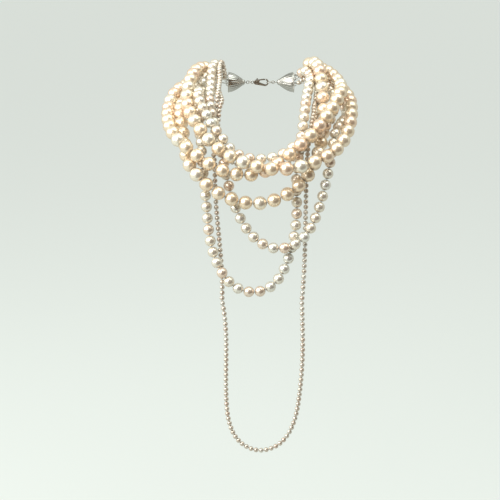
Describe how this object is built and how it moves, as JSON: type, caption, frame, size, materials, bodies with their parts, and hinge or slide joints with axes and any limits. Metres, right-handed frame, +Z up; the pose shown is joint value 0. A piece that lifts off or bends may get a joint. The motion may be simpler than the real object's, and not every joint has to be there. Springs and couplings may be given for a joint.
{
  "type": "layered pearl necklace",
  "caption": "Layered necklace of knotted pearl strands in three pearl sizes, draped as worn and gathered into end cones and a lobster clasp at the nape.",
  "frame": {"origin": "the middle of the clasp, where the necklace rests on the nape", "axes": "+X along the clasp towards the wearer's left, -Y towards the front of the chest, +Z up"},
  "size_m": [0.2029, 0.2099, 0.3838],
  "materials": {
    "large_pearl": "pearlescent gloss, warm ivory",
    "medium_pearl": "pearlescent gloss, silvery cream",
    "small_pearl": "pearlescent gloss, pale beige",
    "silk": "twisted silk, ivory",
    "bullion_wire": "fine coiled wire",
    "silver_metal": "polished silver plate",
    "spring_steel": "drawn wire"
  },
  "bodies": {
    "nape_clasp": {"left_cone": "silver_metal", "right_cone": "silver_metal", "left_gathering_knot": "silk", "right_gathering_knot": "silk", "left_eye_pin": "silver_metal", "right_eye_pin": "silver_metal", "jump_rings": "silver_metal", "clasp_ring": "silver_metal", "clasp_body": "silver_metal", "clasp_rivet": "silver_metal", "trigger_spring": "spring_steel"},
    "trigger": {"clasp_trigger": "silver_metal"},
    "rope_layer": {"long_rope_pearls": "small_pearl", "long_rope_silk": "silk", "long_rope_bullion": "bullion_wire", "short_rope_pearls": "small_pearl", "short_rope_silk": "silk", "short_rope_bullion": "bullion_wire"},
    "rope_drop": {"long_rope_drop_pearls": "small_pearl", "long_rope_drop_silk": "silk"},
    "medium_long_layer": {"medium_long_pearls": "medium_pearl", "medium_long_silk": "silk", "medium_long_bullion": "bullion_wire"},
    "medium_short_layer": {"medium_short_pearls": "medium_pearl", "medium_short_silk": "silk", "medium_short_bullion": "bullion_wire"},
    "large_bib_layer": {"large_bib_pearls": "large_pearl", "large_bib_silk": "silk", "large_bib_bullion": "bullion_wire"},
    "medium_collar_layer": {"medium_collar_pearls": "medium_pearl", "medium_collar_silk": "silk", "medium_collar_bullion": "bullion_wire"},
    "large_collar_layer": {"large_collar_under_pearls": "large_pearl", "large_collar_under_silk": "silk", "large_collar_under_bullion": "bullion_wire", "large_collar_over_pearls": "large_pearl", "large_collar_over_silk": "silk", "large_collar_over_bullion": "bullion_wire"}
  },
  "joints": [
    {"name": "rope_swing", "type": "hinge", "parent": "nape_clasp", "child": "rope_layer", "pos_m": [0, 0, 0], "axis": [-1, 0, 0], "range_deg": [0, 8]},
    {"name": "medium_long_swing", "type": "hinge", "parent": "rope_layer", "child": "medium_long_layer", "pos_m": [0, 0, 0], "axis": [-1, 0, 0], "range_deg": [0, 8]},
    {"name": "medium_short_swing", "type": "hinge", "parent": "medium_long_layer", "child": "medium_short_layer", "pos_m": [0, 0, 0], "axis": [-1, 0, 0], "range_deg": [0, 8]},
    {"name": "large_bib_swing", "type": "hinge", "parent": "medium_short_layer", "child": "large_bib_layer", "pos_m": [0, 0, 0], "axis": [-1, 0, 0], "range_deg": [0, 8]},
    {"name": "medium_collar_swing", "type": "hinge", "parent": "large_bib_layer", "child": "medium_collar_layer", "pos_m": [0, 0, 0], "axis": [-1, 0, 0], "range_deg": [0, 8]},
    {"name": "large_collar_swing", "type": "hinge", "parent": "medium_collar_layer", "child": "large_collar_layer", "pos_m": [0, 0, 0], "axis": [-1, 0, 0], "range_deg": [0, 8]},
    {"name": "rope_drop_swing", "type": "hinge", "parent": "rope_layer", "child": "rope_drop", "pos_m": [0, -0.19, -0.19], "axis": [-1, 0, 0], "range_deg": [0, 40]},
    {"name": "trigger_lever", "type": "hinge", "parent": "nape_clasp", "child": "trigger", "pos_m": [-0.0042, 0, 0.0012], "axis": [0, 1, 0], "range_deg": [0, 20], "stiffness_Nm_per_rad": 0.004, "springref_deg": -20.05}
  ]
}
